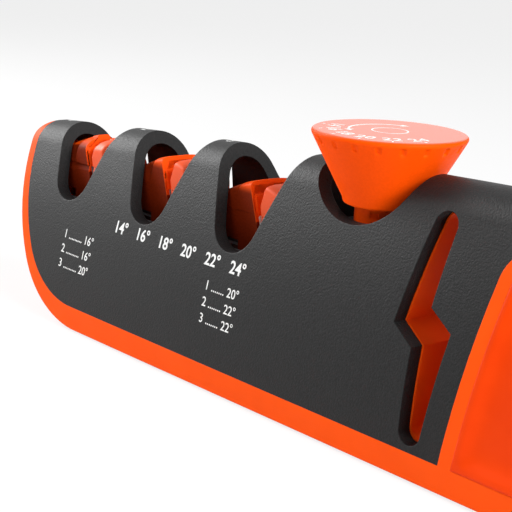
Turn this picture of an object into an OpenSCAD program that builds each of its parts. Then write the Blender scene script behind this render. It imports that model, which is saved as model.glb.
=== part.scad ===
// Hand-held knife and scissors sharpener with an adjustable sharpening angle.
// A tall arched shell stands on a flat base. Three fluted stages cut through the
// shell, each with a pair of crossed abrasive holders on one pin. A push-and-turn
// dial drives a pinion, a rack and cam slots that tilt all holders together.
// X runs along the body to the handle, Y across it with the front at minus Y,
// and Z up from the table. The origin is the middle of the footprint.

/* [Body] */
// Overall length, from the end rim to the tip of the handle
body_len = 293.2; // [290:0.2:297]
// Width over the foot of the body
base_w = 48; // [46:0.5:50]
// Height of the ridge above the table at the middle stage
ridge_h = 66.4; // [65:0.2:68]
// Radius of the gentle bow of the ridge over the stages
bow_r = 4170; // [3600:10:5000]
// Distance from the middle stage to where the bow would level out
bow_reach = 285.4; // [278:0.2:292]
// Radius of the ridge over the handle
handle_r = 230; // [210:5:260]
// Distance from the dial to where the ridge changes to the handle's radius
handle_offset = 66.4; // [63:0.2:72]
// Radius of the rounded crest across the body
crest_r = 11.2; // [10.5:0.1:12]
// Radius of the flanks across the body
flank_r = 169; // [150:1:200]
// Wall of the upper shell
wall = 4; // [3.6:0.1:4.2]

/* [Ends] */
// Radius of the sweeping end face, seen from the front
end_r = 87; // [80:1:95]
// Height at which the end face stands upright
end_z = 68.7; // [66:0.5:72]
// Radius of the toe, where the end face meets the bottom
toe_r = 40; // [34:1:44]
// Radius of the handle's tip, seen from the front
tip_r = 62; // [56:1:70]
// Height of the outermost point of the handle's tip
tip_z = 38; // [34:1:44]
// Radius of the heel under the handle's tip
heel_r = 14; // [10:1:18]
// Corner radius of the handle's tip, seen from above
tip_corner_r = 19; // [15:0.5:21]
// Corner radius of the end rim, seen from above
rim_corner_r = 3; // [1.5:0.5:5]
// Radius that rounds the end over at its top, seen from the front
brow_r = 4.5; // [3:0.5:6]

/* [Base band] */
// Height of the coloured band under the shell
band_h = 7; // [6:0.2:8]
// Thickness of the coloured rim at the end
rim_t = 3.2; // [2.6:0.1:3.6]
// Floor of the base
floor_t = 2.6; // [2.2:0.1:3]
// Wall of the end rim and of the band, inside the shell
band_wall = 3.8; // [3.4:0.1:4.4]

/* [Knife stages] */
// Distance between stages
stage_pitch = 42; // [40:0.5:43]
// Distance from the end face to the first stage
first_stage = 32.2; // [31:0.2:33]
// Height of the lowest point of the first flute
flute_z = 39.6; // [39.2:0.1:40.6]
// Rise of the flute from one stage to the next
flute_rise = 0.45; // [0:0.05:0.8]
// Radius at the bottom of a flute
flute_r = 9.2; // [8.6:0.1:9.6]
// Angle of a flute's sides from upright
flute_angle = 20; // [18:0.5:22]
// Lean of the flutes towards the end
flute_lean = 2.2; // [0:0.2:4]

/* [Abrasive holders] */
// Gap between the shell and the holders
core_gap = 1.2; // [1.1:0.1:1.6]
// Half angle of the sharpening notch as shown
notch_angle = 18; // [17:0.5:19]
// Height of the holders' pin
pin_z = 36.3; // [35.8:0.1:36.6]
// Depth of the pin under the bottom of the notch
notch_drop = 12.4; // [12:0.1:13]
// Length of a holder's head from the pin outwards
head_len = 14.5; // [13:0.5:15]
// Height of the holders' flat tops above the table
core_z = 58.3; // [57.8:0.1:58.8]
// Drop of the head's top from the notch to its outer end
head_drop = 3; // [2:0.5:4]
// Height of the underside of the head
head_z = 41.4; // [41.2:0.1:42]
// Radius of the pins
pin_r = 1.5; // [1.2:0.1:1.6]
// Radius of a holder's knuckle
knuckle_r = 4; // [3.6:0.1:4.2]
// Half width of the middle finger
finger_w = 3; // [2.6:0.1:3.4]
// Half width of a holder under its head
leg_w = 7.9; // [7.4:0.1:8]
// Distance along the body from the pin to a cam peg
peg_x = 8; // [7.6:0.1:8.4]
// Distance of a cam peg under the pin
peg_drop = 7; // [6.5:0.1:7.4]
// Radius of a cam peg
peg_r = 1.5; // [1.3:0.1:1.6]
// Thickness of an abrasive bar
stone_t = 1.8; // [1.4:0.1:2.2]
// Length of an abrasive bar down the notch
stone_len = 11; // [9:0.5:12]

/* [Dial] */
// Distance from the last stage to the dial
dial_offset = 42; // [41:0.5:43]
// Radius of the dial's top
dial_r = 20.7; // [19:0.1:20.8]
// Height of the dial's top above the table
dial_z = 80.5; // [79.6:0.1:81]
// Height of the straight rim of the dial
dial_rim_h = 2; // [1.5:0.1:2.5]
// Radius of the foot of the dial's cone
cone_r = 11; // [10.4:0.1:11.4]
// Height of the cone with its rim
cone_h = 19.6; // [19:0.1:19.8]
// Radius of the dial's neck
neck_r = 7.9; // [7.2:0.1:8.2]
// Radius of the round seat cut through the shell under the dial
seat_r = 19.2; // [19:0.1:19.6]
// Depth of the seat's centre under the dial's top
seat_drop = 4.5; // [4.2:0.1:4.8]
// Grip nicks round the dial
nick_count = 18; // [12:1:22]
// Travel of the dial when it is pushed
push_travel = 2; // [1:0.1:2]
// Width across the flats of the drive shaft
shaft_af = 4; // [3.8:0.1:4.1]

/* [Angle drive] */
// Module of the pinion and the rack
gear_module = 0.6; // [0.58:0.01:0.62]
// Teeth of the pinion
pinion_teeth = 12; // [12:1:12]
// Turn of the dial for each degree of the notch
dial_ratio = 9; // [8.5:0.5:9]
// Smallest half angle of the notch
least_angle = 14; // [14:1:16]
// Largest half angle of the notch
most_angle = 24; // [20:1:24]

/* [Scissors slot] */
// Distance from the dial to the slot's bend
scissor_offset = 31.3; // [30:0.1:32]
// Width of the slot
scissor_w = 10.2; // [9.6:0.1:10.6]
// Height of the slot's bend above the table
bend_z = 38.3; // [37.3:0.2:39.3]
// Height of the slot above its bend
scissor_up = 28.2; // [27:0.2:28.6]
// Height of the slot under its bend
scissor_down = 28.6; // [27:0.2:29.6]
// Radius of the ceramic rod in the slot
rod_r = 1.7; // [1.4:0.1:2]

/* [Handle] */
// Distance from the dial to where the coloured handle side begins on the band
side_offset = 46.4; // [45.4:0.2:48.4]
// Lean of its front edge from upright
side_lean = 7.4; // [6:0.2:9]
// Depth of its upper edge under the ridge
spine_drop = 11.5; // [10:0.5:13]
// Corner radius of the handle side
side_corner_r = 9; // [7:0.5:11]
// Width of the lip round the grip pad
lip_w = 5; // [4:0.5:7]
// Depth of the recess for the grip pad
recess_d = 3.6; // [3.2:0.1:4]
// Depth of the pad's surface under the lip
pad_sink = 0.7; // [0.4:0.1:1]

/* [Hidden] */
$fn = 96;

shell_black = [0.19, 0.19, 0.2];
body_orange = [1, 0.34, 0.07];
pad_orange = [0.95, 0.26, 0.03];
rubber_grey = [0.1, 0.1, 0.1];
frame_grey = [0.3, 0.31, 0.33];
steel_grey = [0.7, 0.71, 0.73];
stone_tones = [[0.35, 0.36, 0.38], [0.55, 0.56, 0.58], [0.93, 0.92, 0.88]];

// Overrun of cuts, running clearance of pins, gap between parts that slide past
// each other and gap between fixed parts that seat on curved faces.
over = 1;
run_gap = 0.05;
slide_gap = 0.4;
seat_gap = 0.15;

// The soles stand a little proud of the band, so the body starts above them.
sole_proud = 0.8;
sole_t = 1.4;
left_x = -body_len / 2;
right_x = body_len / 2;
band_top = sole_proud + band_h;
stage_x = [for (k = [0:2]) left_x + first_stage + k * stage_pitch];
dial_x = stage_x[2] + dial_offset;
side_x = dial_x + side_offset;
handle_x = dial_x + handle_offset;
bow_x = stage_x[1] + bow_reach;
tall = ridge_h + dial_z;

// The arch is drawn for the middle stage and swept along the ridge's bow.
// Its flank arcs pass through the foot and touch the crest arc.
arch_h = ridge_h - sole_proud;
half_w = base_w / 2;
crest_c = arch_h - crest_r;
foot_to_crest = sqrt(half_w * half_w + crest_c * crest_c);
foot_share = (pow(flank_r, 2) - pow(flank_r - crest_r, 2) + pow(foot_to_crest, 2))
  / (2 * foot_to_crest) / foot_to_crest;
flank_leg = sqrt(pow(flank_r, 2) - pow(foot_share * foot_to_crest, 2));
flank_v = half_w - foot_share * half_w - flank_leg * crest_c / foot_to_crest;
flank_u = foot_share * crest_c - flank_leg * half_w / foot_to_crest;

// Centres of the two sweeps: the bow over the stages and the handle's arc.
bow_lean = asin((bow_x - stage_x[1]) / bow_r);
bow_z = ridge_h - bow_r * cos(bow_lean);
// The handle's arc starts a touch above the bow and crosses it just past its start.
arc_rise = 0.15;
arc_x = handle_x;
arc_z = bow_z + sqrt(pow(bow_r, 2) - pow(bow_x - handle_x, 2)) + arc_rise - handle_r;
// Angle swept to the handle's tip, so that the foot of the arch also passes it
tip_end = asin((right_x - handle_x + 2 * over) / (handle_r - ridge_h - band_h));
// Depth to which the arch is drawn under its foot
arch_foot = 16;

// Small arcs are drawn this much larger, so that they cross the arcs they touch.
arc_lap = 0.03;

// Height of the ridge at a place along the body
function ridge_at(x) = bow_z + sqrt(pow(bow_r, 2) - pow(x - bow_x, 2));

// Cross-section of the arch, drawn with its height along X from the sweep's
// centre at radius sweep_r to the crest, and set inwards by inset.
module arch_section(sweep_r, inset) {
  foot_u = sweep_r - arch_h;
  union() {
    intersection() {
      translate([foot_u + flank_u, flank_v]) circle(r = flank_r - inset, $fn = 720);
      translate([foot_u + flank_u, -flank_v]) circle(r = flank_r - inset, $fn = 720);
      translate([foot_u - arch_foot, -half_w - over])
        square([arch_foot + touch_line(inset), base_w + 2 * over]);
    }
    translate([foot_u + crest_c, 0]) circle(r = crest_r - inset + arc_lap);
  }
}

// Height at which the flank arcs touch the crest arc, inset from the outer face
function touch_line(inset) = crest_c
  + (crest_r - inset) * (crest_c - flank_u) / (flank_r - crest_r);

// The arch swept along the bow of the ridge
module bow_sweep(inset) {
  bow_end = asin((bow_x - left_x + 2 * over) / bow_r);
  bow_start = asin((right_x - bow_x + 2 * over) / bow_r);
  translate([bow_x, 0, bow_z]) rotate([90, 0, 0]) rotate([0, 0, 90 - bow_start])
    rotate_extrude(angle = bow_end + bow_start, $fn = 3600)
      arch_section(bow_r, inset);
}

// The same, trimmed over the handle by the arch swept along the handle's arc
module arch_sweep(inset) {
  intersection() {
    bow_sweep(inset);
    union() {
      translate([left_x - 4 * over, -base_w, -arch_foot])
        cube([handle_x - left_x + 5 * over, 2 * base_w, tall]);
      translate([handle_x, 0, arc_z]) rotate([90, 0, 0]) rotate([0, 0, 90 - tip_end])
        rotate_extrude(angle = tip_end, $fn = 720)
          arch_section(handle_r, inset);
    }
  }
}

// The arch near one place along the body, drawn straight along the ridge's slope
module local_arch(x, inset) {
  lean = asin((bow_x - x) / bow_r);
  translate([x, 0, ridge_at(x)]) rotate([0, -90 - lean, 0])
    linear_extrude(height = 2 * stage_pitch, center = true) arch_section(0, inset);
}

// The arch swept along the handle's arc alone, for the recesses of the pads
module handle_sweep(inset) {
  start = asin((handle_x - side_x + 2 * over) / (handle_r - ridge_h - band_top));
  translate([handle_x, 0, arc_z]) rotate([90, 0, 0]) rotate([0, 0, 90 - tip_end])
    rotate_extrude(angle = start + tip_end, $fn = 720) arch_section(handle_r, inset);
}

// Draws a side view, given as X and Z, right through the body.
module across(width) {
  rotate([90, 0, 0]) linear_extrude(height = width, center = true) children();
}

// Everything to one side of an end face: a large arc that meets the floor line
// in a smaller toe arc.
module end_region(face_x, face_z, face_r, corner_r, floor_z) {
  centre = [face_x + face_r, face_z];
  rise = floor_z + corner_r;
  toe = [centre[0] - sqrt(pow(face_r - corner_r, 2) - pow(face_z - rise, 2)), rise];
  far = toe + 2 * (toe - centre) * corner_r / (face_r - corner_r);
  union() {
    translate([toe[0], floor_z]) square([2 * body_len, tall]);
    intersection() {
      translate(centre) circle(r = face_r, $fn = 360);
      polygon([toe, [toe[0], floor_z + tall], [far[0], floor_z + tall], far]);
    }
    intersection() {
      translate(toe) circle(r = corner_r + arc_lap, $fn = 180);
      translate([toe[0] - 2 * corner_r, floor_z]) square([3 * corner_r, tall]);
    }
  }
}

// Side view of all that lies inside the end face, set in from it and from the
// bottom
module end_view(end_in, low_in) {
  end_region(left_x + end_in, end_z, end_r - low_in, toe_r - low_in,
    sole_proud + low_in);
}

// Side view of the whole body, rounded over at the top of its end
module side_view() {
  brow_z = ridge_at(left_x + brow_r) - brow_r;
  face_in = end_r - sqrt(pow(end_r, 2) - pow(end_z - brow_z, 2));
  brow = [left_x + face_in + brow_r, brow_z];
  intersection() {
    end_view(0, 0);
    mirror([1, 0]) end_region(-right_x, tip_z, tip_r, heel_r, sole_proud);
    union() {
      translate(brow) circle(r = brow_r + arc_lap);
      translate([brow[0], -over]) square([body_len, 2 * tall]);
      translate([left_x - brow_r, -over]) square([body_len, brow[1] + over]);
    }
  }
}

// Plan view of the whole body, with its corners rounded
module plan_view() {
  union() {
    translate([left_x + rim_corner_r, -half_w])
      square([body_len - rim_corner_r - tip_corner_r, base_w]);
    translate([left_x, rim_corner_r - half_w])
      square([body_len - tip_corner_r, base_w - 2 * rim_corner_r]);
    translate([right_x - 2 * tip_corner_r, tip_corner_r - half_w])
      square([2 * tip_corner_r, base_w - 2 * tip_corner_r]);
    for (side = [-1, 1]) {
      translate([left_x + rim_corner_r, side * (half_w - rim_corner_r)])
        circle(r = rim_corner_r);
      translate([right_x - tip_corner_r, side * (half_w - tip_corner_r)])
        circle(r = tip_corner_r);
    }
  }
}

// The body's outer form, before it is split into shell and base
module outer_form() {
  intersection() {
    arch_sweep(0);
    across(2 * base_w) side_view();
    linear_extrude(height = tall) plan_view();
  }
}

// Side view of the black shell: above the band and inside the end rim
module shell_view() {
  difference() {
    end_view(rim_t, band_h);
    handle_side_view(0);
  }
}

// Side view of the coloured handle side, set in by inset. Its front edge leans
// back, and its upper edge follows the ridge at an even depth.
module handle_side_view(inset) {
  edge_r = handle_r - spine_drop - inset;
  corner = side_corner_r - inset;
  floor_z = inset > 0 ? band_top : -over;
  // The corner's centre lies corner away from the leaning edge and the upper arc.
  foot = [side_x + inset / cos(side_lean), band_top];
  lean_dir = [sin(side_lean), cos(side_lean)];
  inward = [cos(side_lean), -sin(side_lean)];
  start = foot + inward * corner - [arc_x, arc_z];
  along = start * lean_dir;
  reach = edge_r - corner;
  climb = -along + sqrt(along * along - start * start + reach * reach);
  middle = foot + inward * corner + lean_dir * climb;
  on_edge = middle - inward * corner;
  on_arc = middle + (middle - [arc_x, arc_z]) * corner / reach;
  over_arc = 2 * on_arc - middle;
  tip_in = inset > 0 ? inset : -2 * over;
  union() {
    intersection() {
      translate([arc_x, arc_z]) circle(r = edge_r, $fn = 720);
      polygon([foot + lean_dir * (floor_z - band_top) / cos(side_lean), on_edge, middle,
        over_arc, [over_arc[0], tall], [right_x - tip_in, tall], [right_x - tip_in, floor_z]]);
    }
    translate(middle) circle(r = corner + arc_lap);
  }
}

// One flute of a knife stage, cut right through the shell
module flute(k) {
  bottom = flute_z + k * flute_rise;
  reach = (tall - bottom) / cos(flute_angle);
  side = [flute_r * cos(flute_angle), -flute_r * sin(flute_angle)];
  top = side + reach * [sin(flute_angle), cos(flute_angle)];
  translate([stage_x[k], 0, bottom + flute_r]) rotate([0, -flute_lean, 0])
    across(2 * base_w) union() {
      circle(r = flute_r);
      polygon([side, top, [-top[0], top[1]], [-side[0], side[1]]]);
    }
}

// Outline of the scissors slot about its bend: an upper and a lower run that
// are set off from each other by a slanted step. X is in shares of the width
// and Z in shares of the length of each run.
scissor_top_shares = [-0.31, 0.45, 0.85];
scissor_bend_shares = [-0.65, 0.39, 0.157];
scissor_step_shares = [0.07, 1.16, 0.19];
scissor_foot_shares = [0.13, 0.84, 0.88];
step_z = scissor_w * 0.3;

module scissor_view(grow) {
  w = scissor_w;
  up_z = bend_z + scissor_up * scissor_top_shares[2];
  down_z = bend_z - scissor_down * scissor_foot_shares[2];
  top_r = w * (scissor_top_shares[1] - scissor_top_shares[0]) / 2 + grow;
  foot_r = w * (scissor_foot_shares[1] - scissor_foot_shares[0]) / 2 + grow;
  mid_top = w * (scissor_top_shares[1] + scissor_top_shares[0]) / 2;
  mid_foot = w * (scissor_foot_shares[1] + scissor_foot_shares[0]) / 2;
  x0 = dial_x + scissor_offset;
  translate([x0, 0]) union() {
    polygon([
      [mid_top - top_r, up_z],
      [w * scissor_bend_shares[0] - grow, bend_z - step_z / 4],
      [w * scissor_step_shares[0] - grow, bend_z - step_z * 7 / 4],
      [mid_foot - foot_r, down_z],
      [mid_foot + foot_r, down_z],
      [w * scissor_step_shares[1] + grow, bend_z + step_z / 4],
      [w * scissor_bend_shares[1] + grow, bend_z + step_z * 7 / 4],
      [mid_top + top_r, up_z]
    ]);
    translate([mid_top, up_z]) circle(r = top_r);
    translate([mid_foot, down_z]) circle(r = foot_r);
  }
}

tip_wall = 7;

// Black upper shell: the arch with its flutes, the dial's seat, the scissors
// slot and the spine over the handle
module upper_shell() {
  color(shell_black) difference() {
    intersection() {
      outer_form();
      across(2 * base_w) shell_view();
    }
    intersection() {
      arch_sweep(wall);
      translate([left_x, -base_w, 0]) cube([body_len - tip_wall, 2 * base_w, tall]);
    }
    for (k = [0:2]) flute(k);
    translate([dial_x, 0, dial_z - seat_drop]) across(2 * base_w) circle(r = seat_r);
    across(2 * base_w) scissor_view(0);
  }
}

// Space inside the shell and the end rim, drawn in by gap from its walls
end_wall = 2.8;
floor_top = sole_proud + floor_t;

module inner_space(gap) {
  intersection() {
    bow_sweep(wall + gap);
    across(2 * base_w) end_view(end_wall + gap, floor_t + gap);
    translate([left_x, -base_w, 0])
      cube([side_x - left_x - end_wall - gap, 2 * base_w, tall]);
  }
}

// Plan views of the bottom plate, its window and the rubber soles
plate_end_in = 56.6;
plate_side_in = 6;
plate_x = [left_x + plate_end_in, side_x - plate_side_in];
plate_w = 19;
plate_t = 1.4;
plate_corner_r = 5;
plate_lap = 4;
sole_w = 7.4;
sole_lap = 4;
heel_sole_shares = [0.2, 0.71];
heel_sole_x = [for (share = heel_sole_shares) side_x + share * (right_x - side_x)];
heel_sole_w = 9;

module rounded_bar(from_x, to_x, width, corner_r) {
  union() {
    translate([from_x + corner_r, -width])
      square([to_x - from_x - 2 * corner_r, 2 * width]);
    translate([from_x, corner_r - width])
      square([to_x - from_x, 2 * (width - corner_r)]);
    for (x = [from_x + corner_r, to_x - corner_r], side = [-1, 1])
      translate([x, side * (width - corner_r)]) circle(r = corner_r);
  }
}

module plate_view(grow) {
  rounded_bar(plate_x[0] - grow, plate_x[1] + grow, plate_w + grow, plate_corner_r);
}

module sole_view(grow) {
  rounded_bar(plate_x[0] + sole_lap - grow, plate_x[1] - sole_lap + grow,
    sole_w + grow, sole_w / 2);
}

module heel_sole_view(grow) {
  rounded_bar(heel_sole_x[0] - grow, heel_sole_x[1] + grow,
    heel_sole_w + grow, heel_sole_w / 2);
}

// Orange base: the band, the end rim and the handle's body in one moulding
module base_housing() {
  color(body_orange) difference() {
    union() {
      difference() {
        outer_form();
        across(3 * base_w) shell_view();
      }
      intersection() {
        arch_sweep(wall + seat_gap);
        across(2 * base_w) handle_core_view();
      }
    }
    inner_space(0);
    translate([0, 0, -over]) linear_extrude(height = sole_proud + plate_t + over)
      plate_view(seat_gap);
    linear_extrude(height = floor_top + over) plate_view(-plate_lap);
    linear_extrude(height = sole_t) heel_sole_view(seat_gap);
    for (side = [-1, 1]) pad_recess(side, 0);
  }
}

// Side view of the handle's core, which carries the black spine. It starts just
// behind the leaning front edge of the handle side.
module handle_core_view() {
  from_x = side_x + 2 * over;
  to_x = right_x - tip_wall - seat_gap;
  polygon([
    [from_x, floor_top],
    [from_x + tall * tan(side_lean), floor_top + tall],
    [to_x, floor_top + tall],
    [to_x, floor_top]
  ]);
}

// Space of a grip pad in the handle's side: from the skin down to an even depth,
// inside the lip
module pad_recess(side, gap) {
  difference() {
    intersection() {
      across(3 * base_w) handle_side_view(lip_w + gap);
      translate([side_x, side > 0 ? 0 : -base_w, 0])
        cube([right_x - tip_corner_r - gap - side_x, base_w, tall]);
    }
    handle_sweep(recess_d - gap);
  }
}

// Soft pad on one side of the handle
module grip_pad(side) {
  color(pad_orange) intersection() {
    pad_recess(side, seat_gap);
    handle_sweep(pad_sink);
  }
}

// Thin cover under the base, with a shallow bed for the sole
module base_plate() {
  color(rubber_grey) difference() {
    translate([0, 0, sole_proud]) linear_extrude(height = plate_t) plate_view(0);
    linear_extrude(height = sole_t) sole_view(seat_gap);
    for (p = screw_places) translate([p[0], p[1], sole_proud]) {
      cylinder(r = screw_r, h = 3 * plate_t, center = true);
      cylinder(r1 = screw_head_r, r2 = screw_r, h = screw_head_h);
    }
  }
}

// Ribbed rubber sole under the stages and a smaller one under the handle
groove_pitch = 8;
groove_w = 1.2;
groove_d = 0.4;

module grooved_sole(from_x, to_x) {
  count = floor((to_x - from_x) / groove_pitch / 2) - 1;
  mid = (from_x + to_x) / 2;
  difference() {
    linear_extrude(height = sole_t) children();
    for (n = [-count:count])
      translate([mid + n * groove_pitch - groove_w / 2, -base_w, -over])
        cube([groove_w, 2 * base_w, groove_d + over]);
  }
}

module rubber_sole() {
  color(rubber_grey) grooved_sole(plate_x[0] + sole_lap, plate_x[1] - sole_lap)
    sole_view(0);
}

module handle_sole() {
  color(rubber_grey) grooved_sole(heel_sole_x[0], heel_sole_x[1]) heel_sole_view(0);
}

// Countersunk screws that hold the bottom plate to the chassis and the guide
screw_r = 1.4;
screw_head_r = 2.7;
screw_head_h = 1.3;
screw_end = [16, 16, 7.6];
screw_shift = [7.6, 16.4, 32.4];
screw_x = [stage_x[1] - screw_shift[0], stage_x[2] + screw_shift[1], dial_x + screw_shift[2]];
screw_y = 11.4;
screw_places = [for (i = [0:2], side = [-1, 1]) [screw_x[i], side * screw_y, screw_end[i]]];

module base_screws() {
  color(steel_grey) for (p = screw_places) translate([p[0], p[1], sole_proud])
    difference() {
      union() {
        cylinder(r1 = screw_head_r, r2 = screw_r, h = screw_head_h);
        cylinder(r = screw_r, h = p[2] - sole_proud);
      }
      for (turn = [0, 90]) rotate([0, 0, turn])
        cube([2 * screw_r, screw_r / 2, screw_head_h], center = true);
    }
}

// Inner frame: a trough whose sides hold the pins, with a rib under the cam rack
// and a bridge under the dial's spring
trough_z = 18;
trough_t = 2.5;
trough_in = 11;
trough_out = 13;
trough_flange = 17;
trough_top = pin_z + 2.5;
bearing_foot = 44;
bearing_len = 30;
bridge_z = 34.2;
bridge_t = 2;
bridge_len = 18;
boss_r = 3.5;
cam_y = [leg_w + slide_gap, trough_in - slide_gap];
cam_z = [25.6, 34];
cam_rib_gap = 0.2;
journal_r = 4;

module chassis() {
  color(frame_grey) difference() {
    union() {
      intersection() {
        inner_space(slide_gap);
        union() {
          translate([left_x, -trough_flange, trough_z])
            cube([dial_x + bearing_len / 2 - left_x, 2 * trough_flange, trough_t]);
          translate([left_x, trough_in, trough_z])
            cube([dial_x + bearing_len / 2 - left_x, trough_out - trough_in,
              trough_top - trough_z]);
          translate([left_x, -trough_out, trough_z])
            cube([dial_x + bearing_len / 2 - left_x, trough_out - cam_y[0],
              trough_top - trough_z]);
          for (y = [trough_in, -trough_out])
            translate([dial_x - bearing_len / 2, y, trough_z])
              cube([bearing_len, trough_out - trough_in, bearing_foot - trough_z]);
          translate([left_x, cam_y[0] + slide_gap, trough_z])
            cube([dial_x + bearing_len / 2 - left_x, cam_y[1] - cam_y[0] - slide_gap,
              cam_z[0] - cam_rib_gap - trough_z]);
        }
      }
      translate([dial_x - bridge_len / 2, -trough_in, bridge_z])
        cube([bridge_len, 2 * trough_in, bridge_t]);
      for (p = screw_places) if (p[2] > trough_z / 2)
        translate([p[0], p[1], sole_proud + plate_t])
          cylinder(r = boss_r, h = trough_z - sole_proud - plate_t + trough_t / 2);
    }
    for (x = stage_x) translate([x, 0, pin_z]) rotate([90, 0, 0])
      cylinder(r = pin_r, h = 2 * base_w, center = true);
    translate([dial_x, 0, 0]) {
      cylinder(r = journal_r + run_gap, h = trough_z + trough_t + over);
      translate([0, 0, bridge_z - over])
        cylinder(r = shaft_af / sqrt(3) + slide_gap, h = bridge_t + 2 * over);
    }
    for (p = screw_places) translate([p[0], p[1], 0]) cylinder(r = screw_r, h = p[2]);
  }
}

// Steel pins, one through each pair of holders
module pivot_pins() {
  color(steel_grey) for (x = stage_x) translate([x, 0, pin_z]) rotate([90, 0, 0])
    cylinder(r = pin_r, h = 2 * trough_out, center = true);
}

// Block behind the scissors slot, with the slot carried right through it
guide_lap = 6;
guide_top_gap = 0.15;

module scissors_guide() {
  x0 = dial_x + scissor_offset;
  color(body_orange) difference() {
    intersection() {
      inner_space(seat_gap);
      translate([x0 - scissor_w / 2 - guide_lap, -base_w, floor_top])
        cube([scissor_w + 3 * guide_lap, 2 * base_w, tall]);
    }
    across(3 * base_w) scissor_view(-slide_gap);
    for (p = screw_places) translate([p[0], p[1], 0]) cylinder(r = screw_r, h = p[2]);
    scissors_rod();
  }
}

// Upright ceramic rod, half sunk in the wall of the slot's lower run. The shares
// give its start and its length along the wall.
rod_shares = [0.1, 0.84];

module scissors_rod() {
  foot = [dial_x + scissor_offset + scissor_w * scissor_foot_shares[1] + slide_gap,
    bend_z - scissor_down * scissor_foot_shares[2]];
  step = [foot[0] + scissor_w * (scissor_step_shares[1] - scissor_foot_shares[1]),
    bend_z + step_z / 4];
  run = step - foot;
  color(stone_tones[2]) translate([foot[0], 0, foot[1]])
    rotate([0, atan2(run[0], run[1]), 0])
      translate([0, 0, norm(run) * rod_shares[0]])
        cylinder(r = rod_r, h = norm(run) * rod_shares[1]);
}

// Fixed bush for the dial's neck, seated on the chassis under the seat
bearing_top = 54.2;
bearing_roof = 50.9;
collar_r = 7.4;
collar_h = 4.3;
collar_gap = 0.3;
ear_w = 3;
ear_len = 2.4;

module dial_bearing() {
  color(shell_black) difference() {
    intersection() {
      local_arch(dial_x, wall + slide_gap);
      translate([dial_x - bearing_len / 2, -base_w, bearing_foot])
        cube([bearing_len, 2 * base_w, bearing_top - bearing_foot]);
    }
    translate([dial_x, 0, bearing_foot - over]) {
      cylinder(r = neck_r + run_gap, h = tall);
      cylinder(r = neck_r + 2 * collar_gap, h = bearing_roof - bearing_foot + over);
      translate([-collar_r - ear_len - collar_gap, -ear_w / 2 - collar_gap, 0])
        cube([2 * (collar_r + ear_len + collar_gap), ear_w + 2 * collar_gap,
          bearing_roof - bearing_foot + over]);
    }
  }
}

// Push-and-turn dial: a flat top over a cone, grip nicks under the rim, a neck
// and a blind socket for the shaft
dial_edge_r = 0.8;
neck_foot = 50.7;
nick_r = 0.9;
nick_len = 2.4;
socket_depth = 7;
window_w = 2.4;
window_h = 1.4;
window_d = 0.8;

module dial_knob() {
  cone_z = dial_z - cone_h;
  rim_z = dial_z - dial_rim_h;
  slope = atan((dial_r - cone_r) / (rim_z - cone_z - dial_edge_r));
  color(body_orange) translate([dial_x, 0, 0]) difference() {
    rotate_extrude($fn = 180) union() {
      polygon([[0, neck_foot], [neck_r, neck_foot], [neck_r, cone_z],
        [cone_r - dial_edge_r, cone_z], [cone_r, cone_z + dial_edge_r], [dial_r, rim_z],
        [dial_r, dial_z - dial_edge_r], [dial_r - dial_edge_r, dial_z - dial_edge_r],
        [dial_r - dial_edge_r, dial_z], [0, dial_z]]);
      translate([dial_r - dial_edge_r, dial_z - dial_edge_r]) circle(r = dial_edge_r);
    }
    for (n = [0:nick_count - 1]) rotate([0, 0, n * 360 / nick_count])
      translate([dial_r + nick_r / 2, 0, rim_z + nick_r / 2]) rotate([0, slope, 0])
        translate([0, 0, -nick_len]) cylinder(r = nick_r, h = nick_len);
    translate([0, 0, neck_foot - over])
      cylinder(r = shaft_af / sqrt(3), h = socket_depth + over, $fn = 6);
    rotate([0, 0, -65]) translate([neck_r - window_d, -window_w / 2,
      cone_z - 2 * window_h]) cube([window_d + over, window_w, window_h]);
  }
}

// Hexagonal shaft from the dial down through the pinion
shaft_foot = trough_z + trough_t + 0.1;

module drive_shaft() {
  color(steel_grey) translate([dial_x, 0, shaft_foot])
    cylinder(r = shaft_af / sqrt(3), h = neck_foot + socket_depth - shaft_foot, $fn = 6);
}

// Ring that keeps the shaft under the bridge
clip_t = 1;
clip_r = 5.2;
clip_gap = 0.3;

module shaft_clip() {
  color(steel_grey) translate([dial_x, 0, bridge_z - clip_gap - clip_t]) difference() {
    cylinder(r = clip_r, h = clip_t);
    translate([0, 0, -over])
      cylinder(r = shaft_af / sqrt(3), h = clip_t + 2 * over, $fn = 6);
  }
}

// Sliding collar between the spring and the neck, kept from turning by two ears
module detent_collar() {
  low = neck_foot - run_gap - collar_h;
  color(frame_grey) translate([dial_x, 0, low]) difference() {
    union() {
      cylinder(r = collar_r, h = collar_h);
      translate([-collar_r - ear_len, -ear_w / 2, 0])
        cube([2 * (collar_r + ear_len), ear_w, collar_h]);
    }
    translate([0, 0, -over])
      cylinder(r = shaft_af / sqrt(3) + slide_gap, h = collar_h + 2 * over);
  }
}

// Coil spring between the bridge and the collar, drawn as one swept tube
spring_r = 5.2;
wire_r = 0.45;
spring_turns = 5;
spring_gap = 0.05;
spring_sides = 6;
spring_steps = 24;

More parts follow.
